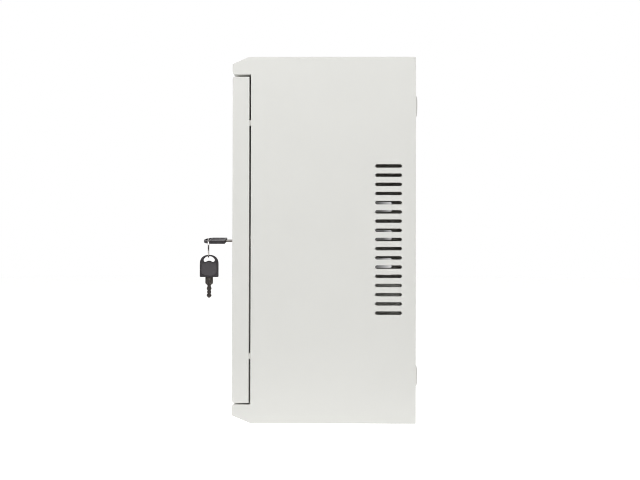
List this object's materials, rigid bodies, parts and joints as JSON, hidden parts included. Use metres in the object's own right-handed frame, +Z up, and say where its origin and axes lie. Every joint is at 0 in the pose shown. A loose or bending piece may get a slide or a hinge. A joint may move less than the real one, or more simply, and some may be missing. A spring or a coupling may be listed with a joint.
{
  "type": "network server rack cabinet",
  "caption": "Compact wall-mount network cabinet: light grey sheet-steel case with slotted sides, hinged windowed door with cam lock and keys, rack rails and a shelf inside.",
  "frame": {"origin": "middle of the bottom panel's outer face: mid width, mid depth of the case", "axes": "+Z up, -Y the door side, +Y the wall side, +X the lock side, -X the hinge side"},
  "size_m": [0.312, 0.2773, 0.458],
  "materials": {
    "case_paint": "fine-texture powder coat, light grey",
    "zinc": "bright zinc plate",
    "nickel": "nickel plate",
    "steel": "plain steel",
    "grip_plastic": "moulded, dark grey",
    "seal_rubber": "matt black",
    "buffer": "soft, light grey",
    "nylon": "natural nylon",
    "safety_glass": "toughened, smoke tint"
  },
  "bodies": {
    "case": {"side_panel_left": "case_paint", "side_panel_right": "case_paint", "top_panel": "case_paint", "bottom_panel": "case_paint", "back_panel": "case_paint", "cable_cover_top": "case_paint", "cable_cover_bottom": "case_paint", "rail_bracket_lower_left": "case_paint", "rail_bracket_upper_left": "case_paint", "rail_bracket_lower_right": "case_paint", "rail_bracket_upper_right": "case_paint", "shelf": "case_paint", "rack_rail_left": "zinc", "rack_rail_right": "zinc", "rail_screw_lower_left": "zinc", "rail_screw_upper_left": "zinc", "rail_screw_lower_right": "zinc", "rail_screw_upper_right": "zinc", "rail_nut_lower_left": "zinc", "rail_nut_upper_left": "zinc", "rail_nut_lower_right": "zinc", "rail_nut_upper_right": "zinc", "cage_nut_lower_left": "zinc", "cage_nut_upper_left": "zinc", "cage_nut_lower_right": "zinc", "cage_nut_upper_right": "zinc", "cover_screw_top_left": "zinc", "cover_screw_top_right": "zinc", "cover_screw_bottom_left": "zinc", "cover_screw_bottom_right": "zinc", "shelf_screw_lower_left": "nickel", "shelf_screw_upper_left": "nickel", "shelf_screw_lower_right": "nickel", "shelf_screw_upper_right": "nickel", "hinge_pin_lower": "steel", "earth_stud": "steel", "cable_edge_trim": "seal_rubber", "door_buffer_upper": "buffer", "door_buffer_lower": "buffer", "hinge_washer": "nylon"},
    "door": {"door_frame": "case_paint", "door_glass": "safety_glass", "glass_seal": "seal_rubber", "glass_clip_lower_left": "zinc", "glass_clip_upper_left": "zinc", "glass_clip_lower_right": "zinc", "glass_clip_upper_right": "zinc", "hinge_pin_guide": "zinc", "hinge_pin_spring": "steel", "lock_housing": "nickel", "lock_nut": "zinc"},
    "upper_hinge_pin": {"hinge_pin_upper": "steel"},
    "lock": {"lock_plug": "nickel", "lock_cam": "zinc", "cam_nut": "zinc"},
    "key": {"key_grip": "grip_plastic", "key_blade": "steel"},
    "ring": {"key_ring": "nickel"},
    "spare_key": {"spare_key_grip": "grip_plastic", "spare_key_blade": "steel"}
  },
  "joints": [
    {"name": "door_hinge", "type": "hinge", "parent": "case", "child": "door", "pos_m": [-0.1495, -0.1086, 0.229], "axis": [0, 0, -1], "range_deg": [0, 180]},
    {"name": "lock_turn", "type": "hinge", "parent": "door", "child": "lock", "pos_m": [0.129, -0.1168, 0.2285], "axis": [0, 1, 0], "range_deg": [-12, 78]},
    {"name": "key_slide", "type": "slide", "parent": "lock", "child": "key", "axis": [0, -1, 0], "range_m": [0, 0.03]},
    {"name": "ring_hang", "type": "hinge", "parent": "key", "child": "ring", "pos_m": [0.13782, -0.14794, 0.22662], "axis": [0, 1, 0], "range_deg": [-78, 12]},
    {"name": "spare_key_swing", "type": "hinge", "parent": "ring", "child": "spare_key", "pos_m": [0.13782, -0.14794, 0.2071], "axis": [0.9863, 0.165, 0], "range_deg": [-60, 35]},
    {"name": "hinge_pin_pull", "type": "slide", "parent": "door", "child": "upper_hinge_pin", "axis": [0, 0, -1], "range_m": [0, 0.009], "stiffness_N_per_m": 300, "springref_m": -0.006, "deforming": ["hinge_pin_spring"]}
  ],
  "couplings": [
    {"joint": "ring_hang", "follows": "lock_turn", "ratio": -1}
  ]
}
